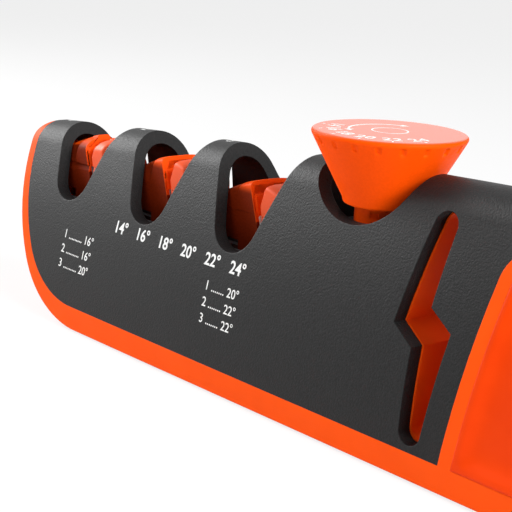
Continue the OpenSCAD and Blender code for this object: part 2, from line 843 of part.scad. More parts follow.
module dial_spring() {
  low = bridge_z + bridge_t + spring_gap + wire_r;
  high = neck_foot - run_gap - collar_h - spring_gap - wire_r;
  rings = spring_turns * spring_steps;
  points = [for (i = [0:rings], s = [0:spring_sides - 1])
    let (turn = 360 * i / spring_steps, side = 360 * s / spring_sides,
      r = spring_r + wire_r * cos(side))
    [r * cos(turn), r * sin(turn), low + (high - low) * i / rings + wire_r * sin(side)]];
  walls = [for (i = [0:rings - 1], s = [0:spring_sides - 1], half = [0, 1])
    let (a = i * spring_sides + s, b = i * spring_sides + (s + 1) % spring_sides)
    half == 0 ? [a, b, b + spring_sides] : [a, b + spring_sides, a + spring_sides]];
  end = rings * spring_sides;
  caps = [for (s = [1:spring_sides - 2], far = [0, 1])
    far == 0 ? [0, s + 1, s] : [end, end + s, end + s + 1]];
  color(steel_grey) translate([dial_x, 0, 0])
    polyhedron(points = points, faces = concat(walls, caps));
}

// Involute pinion on the shaft, with a journal in the floor of the trough
pitch_r = gear_module * pinion_teeth / 2;
pressure = 20;
backlash = 0.14;
pinion_z = [24.7, 30.4];
tip_share = 1;
root_share = 0.9;
rack_tip_share = 0.6;
rack_root_share = 1.15;
hub_r = 5;
socket_gap = 0.12;

function involute_at(base, t) = base * [cos(t) + t * PI / 180 * sin(t),
  sin(t) - t * PI / 180 * cos(t)];

module pinion_view() {
  base = pitch_r * cos(pressure);
  tip = pitch_r + tip_share * gear_module;
  root = pitch_r - root_share * gear_module;
  steps = 5;
  last = sqrt(pow(tip / base, 2) - 1) * 180 / PI;
  half = 90 / pinion_teeth + (tan(pressure) * 180 / PI - pressure)
    - backlash / 4 / pitch_r * 180 / PI;
  flank = [for (i = [0:steps]) involute_at(base, last * i / steps)];
  union() {
    circle(r = root);
    for (n = [0:pinion_teeth - 1]) rotate((n + 0.5) * 360 / pinion_teeth) intersection() {
      circle(r = tip);
      polygon(concat([[0, 0]],
        [for (p = flank) [p[0] * cos(half) + p[1] * sin(half),
          p[1] * cos(half) - p[0] * sin(half)]],
        [for (i = [steps:-1:0]) let (p = flank[i]) [p[0] * cos(half) + p[1] * sin(half),
          p[0] * sin(half) - p[1] * cos(half)]]));
    }
  }
}

module pinion() {
  color(frame_grey) translate([dial_x, 0, 0]) difference() {
    union() {
      translate([0, 0, pinion_z[0]]) linear_extrude(height = pinion_z[1] - pinion_z[0])
        pinion_view();
      translate([0, 0, trough_z]) cylinder(r = journal_r, h = pinion_z[0] - trough_z);
      translate([0, 0, trough_z + trough_t + cam_rib_gap])
        cylinder(r = hub_r, h = pinion_z[0] - trough_z - trough_t - cam_rib_gap);
    }
    translate([0, 0, trough_z - over])
      cylinder(r = shaft_af / sqrt(3) + socket_gap, h = tall, $fn = 6);
  }
}

// Turns of the dial from the pose shown to the closed and the open notch. The
// notch opens, and the rack moves to the handle, as the dial turns clockwise.
dial_turns = [(least_angle - notch_angle) * dial_ratio, (most_angle - notch_angle) * dial_ratio];
rack_teeth = [-5, 4];
peg_gap = 0.14;

// Place of a cam peg in the rack's own frame, for an opening turn of the dial
function peg_place(side, turn) = let (tilt = turn / dial_ratio)
  [side * (peg_x * cos(tilt) - peg_drop * sin(tilt)) - pitch_r * turn * PI / 180,
    -peg_x * sin(tilt) - peg_drop * cos(tilt)];

// Flat bar with six slanted cam slots and, at the dial, a rack
module cam_slot(side) {
  from = peg_place(side, dial_turns[0]);
  to = peg_place(side, dial_turns[1]);
  run = to - from;
  r = peg_r + peg_gap;
  union() {
    translate(from) circle(r = r);
    translate(to) circle(r = r);
    translate(from) rotate(atan2(run[1], run[0])) translate([0, arc_lap - r])
      square([norm(run), 2 * (r - arc_lap)]);
  }
}

cam_web = 1.2;

module cam_rack() {
  from_x = stage_x[0] + peg_place(-1, dial_turns[1])[0] - peg_r - peg_gap - cam_web;
  to_x = dial_x + (rack_teeth[1] + 1) * PI * gear_module;
  thin = backlash / 4;
  color(steel_grey) difference() {
    union() {
      translate([from_x, cam_y[0], cam_z[0]])
        cube([to_x - from_x, cam_y[1] - cam_y[0], cam_z[1] - cam_z[0]]);
      translate([dial_x, 0, pinion_z[0] + cam_rib_gap])
        linear_extrude(height = pinion_z[1] - pinion_z[0] - cam_rib_gap) union() {
          translate([(rack_teeth[0] - 0.5) * PI * gear_module,
            pitch_r + rack_root_share * gear_module])
            square([(rack_teeth[1] - rack_teeth[0] + 1) * PI * gear_module,
              cam_y[0] - pitch_r - rack_root_share * gear_module]);
          for (n = [rack_teeth[0]:rack_teeth[1]])
            translate([n * PI * gear_module, pitch_r]) rack_tooth(thin);
        }
    }
    for (x = stage_x, side = [-1, 1])
      translate([x, (cam_y[0] + cam_y[1]) / 2, pin_z]) across(base_w) cam_slot(side);
  }
}

// One rack tooth, pointing at the pinion from the pitch line
module rack_tooth(thin) {
  quarter = PI * gear_module / 4 - thin;
  tip = rack_tip_share * gear_module;
  root = rack_root_share * gear_module + thin;
  polygon([
    [-quarter + tip * tan(pressure), -tip], [quarter - tip * tan(pressure), -tip],
    [quarter + root * tan(pressure), root], [-quarter - root * tan(pressure), root]
  ]);
}

// Side views of a left holder about its pin. The head's flank leans away from
// the middle; the leg joins the knuckle and the arm with the cam peg.
tip_turn = 2 * (notch_angle - least_angle);
finger_gap = 0.4;
flank_off = notch_drop * sin(notch_angle);
head_lo = head_z - pin_z;
crown_w = 1.4;
arm_w = 2.7;
leg_in = 7.5;
stone_proud = 0.25;

module head_view(dome) {
  lip = (notch_drop - dome) * tan(notch_angle);
  polygon([
    [-head_len, head_lo], [-head_len, dome - head_drop], [lip - crown_w, dome],
    [lip, dome],
    [(notch_drop - head_lo) * tan(notch_angle), head_lo]
  ]);
}

module leg_view() {
  arm = sqrt(peg_x * peg_x + peg_drop * peg_drop);
  union() {
    circle(r = knuckle_r);
    polygon([
      [-leg_in, head_lo + over], [(notch_drop - head_lo - over) * tan(notch_angle),
        head_lo + over],
      [flank_off * cos(notch_angle), flank_off * sin(notch_angle)], [0, 0],
      [-leg_in, -leg_in * peg_drop / peg_x]
    ]);
    rotate(180 + atan(peg_drop / peg_x)) translate([0, arc_lap - arm_w])
      square([arm, 2 * (arm_w - arc_lap)]);
    translate([-peg_x, -peg_drop]) circle(r = arm_w);
  }
}

// What a holder leaves free for the other holder's finger
module finger_space() {
  lean = notch_angle - tip_turn;
  off = flank_off + finger_gap + stone_proud;
  span = dial_z;
  union() {
    circle(r = knuckle_r + finger_gap);
    polygon([
      [-off / cos(lean), 0], [(span * sin(lean) - off) / cos(lean), span],
      [span, span], [span, 0]
    ]);
  }
}

module holder(k, side) {
  own_middle = side > 0;
  dome = core_z - pin_z;
  flip = own_middle ? 1 : 0;
  color(body_orange) translate([stage_x[k], 0, pin_z]) difference() {
    union() {
      intersection() {
        translate([-stage_x[k], 0, -pin_z]) local_arch(stage_x[k], wall + core_gap);
        across(2 * leg_w) mirror([flip, 0]) head_view(dome);
      }
      across(2 * leg_w) mirror([flip, 0]) leg_view();
      translate([side * peg_x, cam_y[1], -peg_drop]) rotate([90, 0, 0])
        cylinder(r = peg_r, h = cam_y[1]);
    }
    if (own_middle) {
      for (end = [-1, 1]) translate([0, end * (finger_w + base_w / 2), 0])
        across(base_w) mirror([flip, 0]) finger_space();
    } else {
      across(2 * (finger_w + finger_gap)) mirror([flip, 0]) finger_space();
    }
    rotate([90, 0, 0]) cylinder(r = pin_r + run_gap, h = 2 * base_w, center = true);
    stone_bars(side, 0);
  }
}

// Abrasive bars on the flanks: two on a left holder, one on a right holder
bar_y = [finger_w + finger_gap + 0.6, finger_w + finger_gap + 3.4];
bar_mid_w = finger_w - 0.6;
bar_up_share = 0.62;

module stone_bars(side, grow) {
  mirror([side > 0 ? 1 : 0, 0, 0])
    translate([0, 0, notch_drop]) rotate([0, -notch_angle, 0])
      for (range = side > 0 ? [[-bar_mid_w, bar_mid_w]] : [bar_y, [-bar_y[1], -bar_y[0]]])
        translate([stone_proud - stone_t, range[0], (bar_up_share - 1) * stone_len])
          cube([stone_t, range[1] - range[0], stone_len]);
}

module stone(k, side) {
  color(stone_tones[k]) translate([stage_x[k], 0, pin_z]) stone_bars(side, 0);
}

upper_shell();
base_housing();
grip_pad(-1);  // grip_pad_front
grip_pad(1);  // grip_pad_rear
base_plate();
rubber_sole();
handle_sole();
base_screws();
chassis();
pivot_pins();
scissors_guide();
scissors_rod();
dial_bearing();
cam_rack();
pinion();
dial_knob();
drive_shaft();
shaft_clip();
detent_collar();
dial_spring();
for (k = [0:2]) {
  holder(k, -1);
  holder(k, 1);
  stone(k, -1);
  stone(k, 1);
}
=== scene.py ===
import math

import bmesh
import bpy
import numpy as np
from mathutils import Matrix, Vector


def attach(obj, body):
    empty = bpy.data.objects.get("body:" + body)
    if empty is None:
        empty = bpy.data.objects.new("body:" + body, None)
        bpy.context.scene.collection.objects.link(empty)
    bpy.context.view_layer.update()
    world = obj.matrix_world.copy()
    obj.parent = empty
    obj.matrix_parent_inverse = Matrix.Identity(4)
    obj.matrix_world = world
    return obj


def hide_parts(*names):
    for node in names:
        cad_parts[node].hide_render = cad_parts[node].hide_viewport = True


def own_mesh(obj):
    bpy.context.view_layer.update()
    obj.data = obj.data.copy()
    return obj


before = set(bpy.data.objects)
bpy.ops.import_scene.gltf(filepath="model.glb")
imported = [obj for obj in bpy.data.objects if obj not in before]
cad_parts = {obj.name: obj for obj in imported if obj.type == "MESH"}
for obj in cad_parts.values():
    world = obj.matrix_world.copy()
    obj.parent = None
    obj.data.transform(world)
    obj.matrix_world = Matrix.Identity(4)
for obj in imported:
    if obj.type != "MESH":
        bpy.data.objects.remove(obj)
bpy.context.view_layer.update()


# Camera
# A long lens looks down on the front from beyond the handle, a little tilted.
# Its place was fitted to the edges, flutes and dial seen in the photograph.
eye = Vector((0.268349, -0.27246, 0.135859))
turn, dip, tilt = math.radians(48.405), math.radians(13.739), math.radians(3.177)
backwards = Vector((math.sin(turn) * math.cos(dip), -math.cos(turn) * math.cos(dip), math.sin(dip)))
level = Vector((math.cos(turn), math.sin(turn), 0.0))
upright = backwards.cross(level)
right = level * math.cos(tilt) + upright * math.sin(tilt)
top = upright * math.cos(tilt) - level * math.sin(tilt)
camera = bpy.data.objects.new("camera", bpy.data.cameras.new("camera"))
bpy.context.scene.collection.objects.link(camera)
camera.matrix_world = Matrix((
    (right.x, top.x, backwards.x, eye.x),
    (right.y, top.y, backwards.y, eye.y),
    (right.z, top.z, backwards.z, eye.z),
    (0, 0, 0, 1)))
film, focus_px, image_px = 36.0, 1430.619, 512
camera.data.sensor_width = film
camera.data.lens = focus_px / image_px * film
camera.data.clip_start = 0.01
camera.data.clip_end = 20
bpy.context.scene.camera = camera


# Studio
# A pale floor that runs out of sight, white surroundings, a broad soft box at
# each end of the object and a weak one above its front.
class Port:
    """A shader socket whose sums and products are Math nodes."""

    def __init__(self, tree, socket):
        self.tree, self.socket = tree, socket

    def node(self, kind, settings=None, **inputs):
        """Adds a node of a type, with its settings and the values or links of its
        sockets, and returns it. Input names use _ for a space or n1 for number 1."""
        made = self.tree.nodes.new(kind)
        for key, value in (settings or {}).items():
            setattr(made, key, value)
        for key, value in inputs.items():
            numbered = key[0] == "n" and key[1:].isdigit()
            socket = made.inputs[int(key[1:]) if numbered else key.replace("_", " ")]
            if isinstance(value, Port):
                self.tree.links.new(value.socket, socket)
            else:
                socket.default_value = value
        return made

    def port(self, kind, settings=None, out=0, **inputs):
        """The same, but returns one of the new node's outputs as a Port."""
        return Port(self.tree, self.node(kind, settings, **inputs).outputs[out])

    def maths(self, operation, other=0.0, swap=False):
        """A Math node of this and another value, or of the two the other way round."""
        a, b = (other, self) if swap else (self, other)
        return self.port("ShaderNodeMath", {"operation": operation}, n0=a, n1=b)

    def __add__(self, other):
        return self.maths("ADD", other)

    def __sub__(self, other):
        return self.maths("SUBTRACT", other)

    def __rsub__(self, other):
        return self.maths("SUBTRACT", other, swap=True)

    def __mul__(self, other):
        return self.maths("MULTIPLY", other)

    __radd__, __rmul__ = __add__, __mul__

    def above(self, low, high):
        """0 under low, 1 over high and a smooth step between them."""
        return self.port("ShaderNodeMapRange", {"interpolation_type": "SMOOTHSTEP"},
                         Value=self, From_Min=low, From_Max=high)

    def blend(self, first, second):
        """A colour between two colours, with this as the share of the second."""
        return self.port("ShaderNodeMix", {"data_type": "RGBA"}, out=2, n0=self, n6=first, n7=second)


def new_material(name):
    """An empty material, its tree's Object coordinates and its shader."""
    material = bpy.data.materials.new(name)
    material.use_nodes = True
    tree = material.node_tree
    shader = tree.nodes["Principled BSDF"]
    start = Port(tree, None)
    return material, start, start.port("ShaderNodeTexCoord", out=3), shader


def join(start, shader, **inputs):
    """Sets or links sockets of a shader by name."""
    for key, value in inputs.items():
        socket = shader.inputs[key.replace("_", " ")]
        if isinstance(value, Port):
            start.tree.links.new(value.socket, socket)
        else:
            socket.default_value = value


def floor_grid(half, count):
    """A flat square grid: x and y run evenly from -half to half in count steps."""
    side = np.linspace(-half, half, count + 1)
    x, y = np.meshgrid(side, side, indexing="ij")
    i, j = np.meshgrid(np.arange(count), np.arange(count), indexing="ij")
    a = (i * (count + 1) + j).ravel()
    return np.stack([x, y, 0 * x], -1).reshape(-1, 3), np.stack([a, a + count + 1, a + count + 2, a + 1], -1)


floor_half, floor_steps = 4.0, 8
points, faces = floor_grid(floor_half, floor_steps)
floor_mesh = bpy.data.meshes.new("floor")
floor_mesh.from_pydata(points.tolist(), [], faces.tolist())
floor = bpy.data.objects.new("floor", floor_mesh)
bpy.context.scene.collection.objects.link(floor)
floor_white, start, _, shader = new_material("floor_white")
join(start, shader, Base_Color=(0.86, 0.86, 0.86, 1), Roughness=0.6, Specular_IOR_Level=0.2)
floor_glow = 0.82
seen = start.port("ShaderNodeLightPath", out=0)
glow = start.port("ShaderNodeEmission", Color=(1, 1, 1, 1), Strength=1.0)
mixed = start.port("ShaderNodeMixShader", n0=seen * floor_glow,
                   n1=Port(start.tree, shader.outputs[0]), n2=glow)
start.tree.links.new(mixed.socket, start.tree.nodes["Material Output"].inputs["Surface"])
floor.data.materials.append(floor_white)

world = bpy.data.worlds.new("surroundings")
bpy.context.scene.world = world
world.use_nodes = True
air = Port(world.node_tree, None)
backdrop = world.node_tree.nodes["Background"]
paths = air.node("ShaderNodeLightPath")
plain_view = (Port(world.node_tree, paths.outputs["Is Camera Ray"])
              + Port(world.node_tree, paths.outputs["Is Glossy Ray"])
              + Port(world.node_tree, paths.outputs["Is Transmission Ray"])).maths("MINIMUM", 1.0)
backdrop.inputs["Color"].default_value = (1, 1, 1, 1)
air_light = 0.08
world.node_tree.links.new((plain_view * (1 - air_light) + air_light).socket, backdrop.inputs["Strength"])


def soft_box(name, place, power):
    """A rectangular lamp at place, pointing at the middle of the object."""
    lamp = bpy.data.lights.new(name, "AREA")
    lamp.shape, lamp.size, lamp.size_y, lamp.energy = "RECTANGLE", 0.5, 0.45, power
    box = bpy.data.objects.new(name, lamp)
    bpy.context.scene.collection.objects.link(box)
    box.location = place
    box.rotation_euler = (Vector((0, 0, 0.03)) - Vector(place)).to_track_quat("-Z", "Y").to_euler()


soft_box("left_box", (-0.77, -0.2, 0.42), 8.6)
soft_box("right_box", (0.74, 0.0, 0.52), 11.4)
soft_box("front_box", (0.0, -0.5, 0.75), 1.8)
bpy.context.scene.view_settings.view_transform = "Standard"


# Upper shell
# Moulded in black plastic with a fine spark-eroded grain. The cut faces of the
# flutes, the dial's seat and the scissors slot are the same moulding.
shell_black, start, place, shader = new_material("shell_black")
grain = start.port("ShaderNodeTexNoise", Vector=place, Scale=1900.0, Detail=2.0, Roughness=0.55)
cloud = start.port("ShaderNodeTexNoise", Vector=place, Scale=60.0, Detail=3.0)
speck = grain.above(0.38, 0.66)
edge = start.port("ShaderNodeBevel", {"samples": 6}, Radius=0.0003)
join(start, shader, Base_Color=speck.blend((0.003, 0.003, 0.0031, 1), (0.0085, 0.0085, 0.0087, 1)),
     Roughness=0.42 + 0.08 * cloud + 0.08 * speck, Specular_IOR_Level=0.20,
     Normal=start.port("ShaderNodeBump", Height=grain, Strength=0.95, Distance=0.00012, Normal=edge))


def dress(node, material):
    """Gives a CAD node one material."""
    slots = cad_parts[node].data.materials
    slots.clear()
    slots.append(material)


dress("upper_shell", shell_black)
dress("dial_bearing", shell_black)


# Base housing and scissors guide
# Moulded in bright orange plastic, semi-gloss, with very slight flow waves. The
# guide is a separate moulding that slides into the shell from below.
body_orange, start, place, shader = new_material("body_orange")
fine = start.port("ShaderNodeTexNoise", Vector=place, Scale=1500.0, Detail=2.0)
wave = start.port("ShaderNodeTexNoise", Vector=place, Scale=90.0, Detail=2.0)
edge = start.port("ShaderNodeBevel", {"samples": 6}, Radius=0.0004)
join(start, shader, Base_Color=wave.above(0.3, 0.7).blend((0.89, 0.082, 0.0024, 1), (0.93, 0.088, 0.003, 1)),
     Roughness=0.40 + 0.08 * fine, Specular_IOR_Level=0.05,
     Normal=start.port("ShaderNodeBump", Height=fine, Strength=0.15, Distance=0.00004, Normal=edge))
dress("base_housing", body_orange)
dress("scissors_guide", body_orange)


# Holders
# The same orange plastic. Their upright side faces are painted dark as the fins' shadow,
# lower down on a right holder, while the faces that open and close stay bright.
MM = 0.001
stage_x, stage_gap, notch_z, notch_lean = (-114.4, -72.4, -30.4), 42.0, 48.7, math.radians(18)
notch_slope, shade_y, shade_edge = 0.325, (4.5, 5.3), (0.1, 0.4)
holder_orange_painted_shade = {}
for word, shade_low, shade_high, gloss in (("left", 55.5, 58.5, 0.08), ("right", 47.0, 51.0, 0.45)):
    made, start, place, shader = new_material("holder_orange_painted_shade_" + word)
    fine = start.port("ShaderNodeTexNoise", Vector=place, Scale=1500.0, Detail=2.0)
    apart = start.node("ShaderNodeSeparateXYZ", Vector=place)
    along, across, height = [Port(start.tree, socket) for socket in apart.outputs]
    from_stage = (along - stage_x[0] * MM).maths("PINGPONG", stage_gap / 2 * MM)
    away = from_stage - notch_slope * (height - notch_z * MM)
    # Painted shade: a mask over the upright side faces, away from the notch and below a height, blends the
    # orange to dark brown.
    dust_and_painted_shade = (across.maths("ABSOLUTE").above(shade_y[0] * MM, shade_y[1] * MM)
            * away.above(shade_edge[0] * MM, shade_edge[1] * MM)
            * (1 - height.above(shade_low * MM, shade_high * MM)) * (0.85 + 0.15 * fine))
    edge = start.port("ShaderNodeBevel", {"samples": 6}, Radius=0.0003)
    join(start, shader, Base_Color=dust_and_painted_shade.blend((0.90, 0.079, 0.002, 1), (0.11, 0.008, 0.0004, 1)),
         Roughness=0.46 + 0.08 * fine + 0.12 * dust_and_painted_shade, Specular_IOR_Level=gloss,
         Normal=start.port("ShaderNodeBump", Height=fine, Strength=0.15, Distance=0.00004, Normal=edge))
    holder_orange_painted_shade[word] = made
    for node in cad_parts:
        if node.startswith("holder_" + word):
            dress(node, made)


# Dial
# One orange moulding: a flat disc on an inverted cone, with small grip nicks under
# its rim, a neck that runs in the bush and a blind socket for the shaft.
dial_x, dial_top, rim_r, neck_r = 11.6, 80.5, 20.0, 7.9
nicks, nick_deep, nick_z = 20, 0.42, 78.05
window_deep, window_way, window_low, window_high = 0.7, 65, 57.9, 59.6


def arc(middle_r, middle_z, radius, start, end, steps):
    """Points of a circular arc in the half plane of radius and height: the middle
    plus radius times the cosine and sine of evenly spaced angles in degrees."""
    a = np.radians(np.linspace(start, end, steps))
    return np.stack([middle_r + radius * np.cos(a), middle_z + radius * np.sin(a)], -1)


def stretch(first, last, steps):
    """Evenly spaced points on a straight line between two points."""
    return np.linspace(first, last, steps)


def bump(value, half, soft):
    """1 inside plus or minus half, falling along a smooth step to 0 within soft."""
    t = np.clip((half + soft - np.abs(value)) / soft, 0, 1)
    return t * t * (3 - 2 * t)


def lay_mesh(name, points, *faces):
    """A mesh object from a table of points in millimetres and tables of faces."""
    mesh = bpy.data.meshes.new(name)
    mesh.from_pydata((points * MM).tolist(), [], [f for table in faces for f in table.tolist()])
    mesh.polygons.foreach_set("use_smooth", [True] * len(mesh.polygons))
    made = bpy.data.objects.new(name, mesh)
    bpy.context.scene.collection.objects.link(made)
    return made


def revolve(name, profile, columns, dent, axis_x):
    """Turns a profile of radius and height, from the middle of the top outwards and
    down to the axis again, about an upright axis. The radius loses dent(angle,
    height, radius). Two poles close the ends."""
    angle = np.linspace(0, 2 * np.pi, columns, endpoint=False)[None]
    r, z = profile[:, :1] + 0 * angle, profile[:, 1:] + 0 * angle
    r = r - dent(angle, z, r)
    ring = np.stack([axis_x + r * np.cos(angle), r * np.sin(angle), z], -1)
    rows = len(profile)
    poles = np.array([[axis_x, 0, profile[0, 1]], [axis_x, 0, profile[-1, 1]]])
    i, j = np.meshgrid(np.arange(rows - 1), np.arange(columns), indexing="ij")
    k = (j + 1) % columns
    body = np.stack([i * columns + j, (i + 1) * columns + j, (i + 1) * columns + k, i * columns + k], -1)
    j = np.arange(columns)
    k, pole, last = (j + 1) % columns, rows * columns + 0 * j, (rows - 1) * columns
    caps = np.concatenate([np.stack([pole, j, k], -1), np.stack([pole + 1, last + k, last + j], -1)])
    return lay_mesh(name, np.concatenate([ring.reshape(-1, 3), poles]), body.reshape(-1, 4), caps)


dial_profile = np.concatenate([
    stretch((0.5, dial_top), (19.5, dial_top), 7),  # flat top
    arc(19.8, dial_top - 0.9, 0.9, 88, -24, 9),  # rounded rim
    stretch((20.55, 79.05), (19.5, 77.1), 16),  # steep edge that carries the nicks
    stretch((19.2, 76.55), (11.5, 62.5), 10),  # cone
    arc(10.35, 61.9, 1.0, -26, -90, 6),  # round foot of the cone
    stretch((9.9, 60.9), (8.6, 60.9), 3),  # shoulder over the bush
    arc(8.5, 60.3, 0.6, 100, 178, 5),  # fillet into the neck
    stretch((neck_r, 59.7), (neck_r, 57.9), 15),  # neck, with the window
    stretch((neck_r, 57.2), (neck_r, 51.0), 5),  # neck, in the bush
    stretch((7.65, 50.7), (2.45, 50.7), 3),  # end of the neck
    stretch((2.4, 50.9), (2.4, 57.7), 4),  # wall of the socket
    stretch((2.2, 57.8), (0.5, 57.8), 2)])  # floor of the socket


def nick_dents(angle, height, radius):
    """Depth of the grip nicks under the rim, each a bump round the dial times a bump
    in height, and of the moulding window in the neck, which deepens upwards."""
    pitch = 2 * np.pi / nicks
    off = (angle + pitch / 2) % pitch - pitch / 2
    nick = nick_deep * bump(off * rim_r, 0.3, 0.6) * bump(height - nick_z, 0.5, 0.7)
    facing = (angle + np.radians(window_way) + np.pi) % (2 * np.pi) - np.pi
    rise = np.clip((height - window_low) / (window_high - window_low), 0, 1) * (height < window_high)
    window = window_deep * rise * bump(facing * neck_r, 1.05, 0.2)
    return nick * (radius > 0.75 * rim_r) + window * (np.abs(radius - neck_r) < 0.6)


dial_orange, start, place, shader = new_material("dial_orange")
fine = start.port("ShaderNodeTexNoise", Vector=place, Scale=1500.0, Detail=2.0)
height = start.port("ShaderNodeSeparateXYZ", out=2, Vector=place)
join(start, shader, Base_Color=fine.above(0.3, 0.7).blend((0.90, 0.073, 0.001, 1), (0.94, 0.079, 0.0014, 1)),
     Roughness=0.40 + 0.08 * fine, Specular_IOR_Level=0.03, Coat_Roughness=0.22, Coat_IOR=1.5,
     Coat_Weight=height.above((dial_top - 0.3) * MM, (dial_top - 0.1) * MM),
     Normal=start.port("ShaderNodeBump", Height=fine, Strength=0.15, Distance=0.00004))
dial = revolve("dial", dial_profile, 540, nick_dents, dial_x)
dial.data.materials.append(dial_orange)
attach(dial, "dial")
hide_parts("dial_knob")


# Dial marks
# Thin white print on the dial: plain angle numbers round its edge, a tick for
# each, and a double arrow that says it turns.
mark_white, start, place, shader = new_material("mark_white")
speck = start.port("ShaderNodeTexNoise", Vector=place, Scale=4000.0, Detail=2.0)
join(start, shader, Base_Color=speck.above(0.35, 0.6).blend((0.74, 0.74, 0.73, 1), (0.86, 0.86, 0.85, 1)),
     Roughness=0.45 + 0.15 * speck, Specular_IOR_Level=0.3)
print_t, type_scale = 0.03, 1.38


def letters(text, height, align="CENTER", weight=0.0, slices=1):
    """Plain numbers as a flat mesh: the corner points in millimetres, centred on
    the middle of the text or set from its left end, and the faces. The faces are
    cut into level slices of even height, so that they can follow a curve."""
    curve = bpy.data.curves.new("numbers", "FONT")
    curve.body, curve.size, curve.align_x, curve.align_y = text, height * type_scale, align, "CENTER"
    curve.offset, curve.resolution_u = weight, 3
    holder = bpy.data.objects.new("numbers", curve)
    bpy.context.scene.collection.objects.link(holder)
    bpy.context.view_layer.update()
    mesh = bpy.data.meshes.new_from_object(holder.evaluated_get(bpy.context.evaluated_depsgraph_get()))
    cut = bmesh.new()
    cut.from_mesh(mesh)
    for level in np.linspace(-0.5, 0.5, slices + 1)[1:-1] * height:
        bmesh.ops.bisect_plane(cut, geom=cut.verts[:] + cut.edges[:] + cut.faces[:],
                               plane_co=(0, level, 0), plane_no=(0, 1, 0))
    cut.to_mesh(mesh)
    cut.free()
    points = np.empty(len(mesh.vertices) * 3)
    mesh.vertices.foreach_get("co", points)
    faces = [list(p.vertices) for p in mesh.polygons]
    bpy.data.objects.remove(holder)
    return points.reshape(-1, 3)[:, :2], faces


def print_on(name, parts, body, where):
    """One thin closed piece of print. parts holds flat points and faces, and where
    takes flat points and a lift and gives the place on the carrying surface."""
    points, faces, count = [], [], 0
    for flat, table in parts:
        n = len(flat)
        points += [where(flat, print_t), where(flat, -print_t)]
        edges = {}
        for f in table:
            faces.append([count + v for v in f])
            faces.append([count + n + v for v in f[::-1]])
            for a, b in zip(f, f[1:] + f[:1]):
                edges[(a, b)] = 1
        faces += [[count + b, count + a, count + n + a, count + n + b]
                  for a, b in edges if (b, a) not in edges]
        count += 2 * n
    mesh = bpy.data.meshes.new(name)
    mesh.from_pydata((np.concatenate(points) * MM).tolist(), [], faces)
    made = bpy.data.objects.new(name, mesh)
    bpy.context.scene.collection.objects.link(made)
    made.data.materials.append(mark_white)
    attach(made, body)


def band_on_ring(inner, outer, start_deg, end_deg, steps):
    """A flat strip between two radii: points at evenly spaced angles, inner row
    first, and its faces."""
    a = np.radians(np.linspace(start_deg, end_deg, steps))
    ring = np.stack([np.cos(a), np.sin(a)], -1)
    flat = np.concatenate([ring * np.broadcast_to(inner, (steps,))[:, None],
                           ring * np.broadcast_to(outer, (steps,))[:, None]])
    i = np.arange(steps - 1)
    return flat, np.stack([i, i + steps, i + steps + 1, i + 1], -1).tolist()


def turned(part, degrees, radius):
    """Flat points pushed out to a radius and turned about the dial's axis."""
    flat, faces = part
    a = math.radians(degrees)
    flat = flat + np.array([0, -radius])
    return flat @ np.array([[math.cos(a), math.sin(a)], [-math.sin(a), math.cos(a)]]), faces


angles, first_way, way_step = range(14, 25, 2), -62, 27
number_h, number_r, tick_in, tick_out, tick_half = 3.9, 15.0, 17.9, 19.0, 0.7
arrow_in, arrow_out, arrow_start, arrow_end = 10.6, 11.2, 118, 232
head_in, head_tip, head_out, head_run, head_steps = 9.6, 10.9, 12.2, 11, 6
ring_in, ring_out = 4.6, 5.0
dial_parts = []
for n, number in enumerate(angles):
    way = first_way + way_step * n
    dial_parts.append(turned(letters(str(number), number_h, weight=0.05), way, number_r))
    dial_parts.append(band_on_ring(tick_in, tick_out, way - 90 - tick_half, way - 90 + tick_half, 3))
narrow = np.linspace(head_in, head_tip, head_steps)
broad = np.linspace(head_out, head_tip, head_steps) + 0.01
dial_parts += [band_on_ring(arrow_in, arrow_out, arrow_start, arrow_end, 30),
               band_on_ring(narrow, broad, arrow_end, arrow_end + head_run, head_steps),
               band_on_ring(narrow[::-1], broad[::-1], arrow_start - head_run, arrow_start, head_steps),
               band_on_ring(ring_in, ring_out, 0, 359.9, 60)]


def on_dial(flat, lift):
    """Flat points about the dial's axis, laid on its top."""
    return np.column_stack([dial_x + flat[:, 0], flat[:, 1], 0 * flat[:, 0] + dial_top + lift])


print_on("dial_marks", dial_parts, "dial", on_dial)


# Shell marks
# White print on the shell: the number of each stage on its crest, and a small
# table of plain angles on the front, moulded flush with the skin.
ridge_h, foot_z, crest_r, flank_r, half_w = 66.4, 0.8, 11.2, 169.0, 24.0
arch_h = ridge_h - foot_z
crest_c = arch_h - crest_r
foot_reach = math.hypot(half_w, crest_c)
foot_share = (flank_r ** 2 - (flank_r - crest_r) ** 2 + foot_reach ** 2) / (2 * foot_reach) / foot_reach
flank_leg = math.sqrt(flank_r ** 2 - (foot_share * foot_reach) ** 2)
flank_v = half_w - foot_share * half_w - flank_leg * crest_c / foot_reach
flank_u = foot_share * crest_c - flank_leg * half_w / foot_reach
bow_x, bow_r = 213.0, 4170.0
bow_z = ridge_h - bow_r * math.cos(math.asin((bow_x - stage_x[1]) / bow_r))


def half_width(x, z, inset=0.0, middle=(bow_x, bow_z), sweep_r=bow_r):
    """Half the body's width at a place on its side, set inwards. The flank is a
    circular arc in the section that meets the crest's circle, and the section is
    swept along the ridge's arc."""
    up = np.hypot(x - middle[0], z - middle[1]) - sweep_r + arch_h
    flank = flank_v + np.sqrt((flank_r - inset) ** 2 - (up - flank_u) ** 2)
    crest = np.sqrt(np.clip((crest_r - inset) ** 2 - (up - crest_c) ** 2, 0, None))
    touch = crest_c + (crest_r - inset) * (crest_c - flank_u) / (flank_r - crest_r)
    return np.where(up < touch, flank, crest)


def on_front(flat, lift):
    """Flat points as X and Z, laid on the front skin."""
    return np.column_stack([flat[:, 0], -half_width(flat[:, 0], flat[:, 1]) - lift, flat[:, 1]])


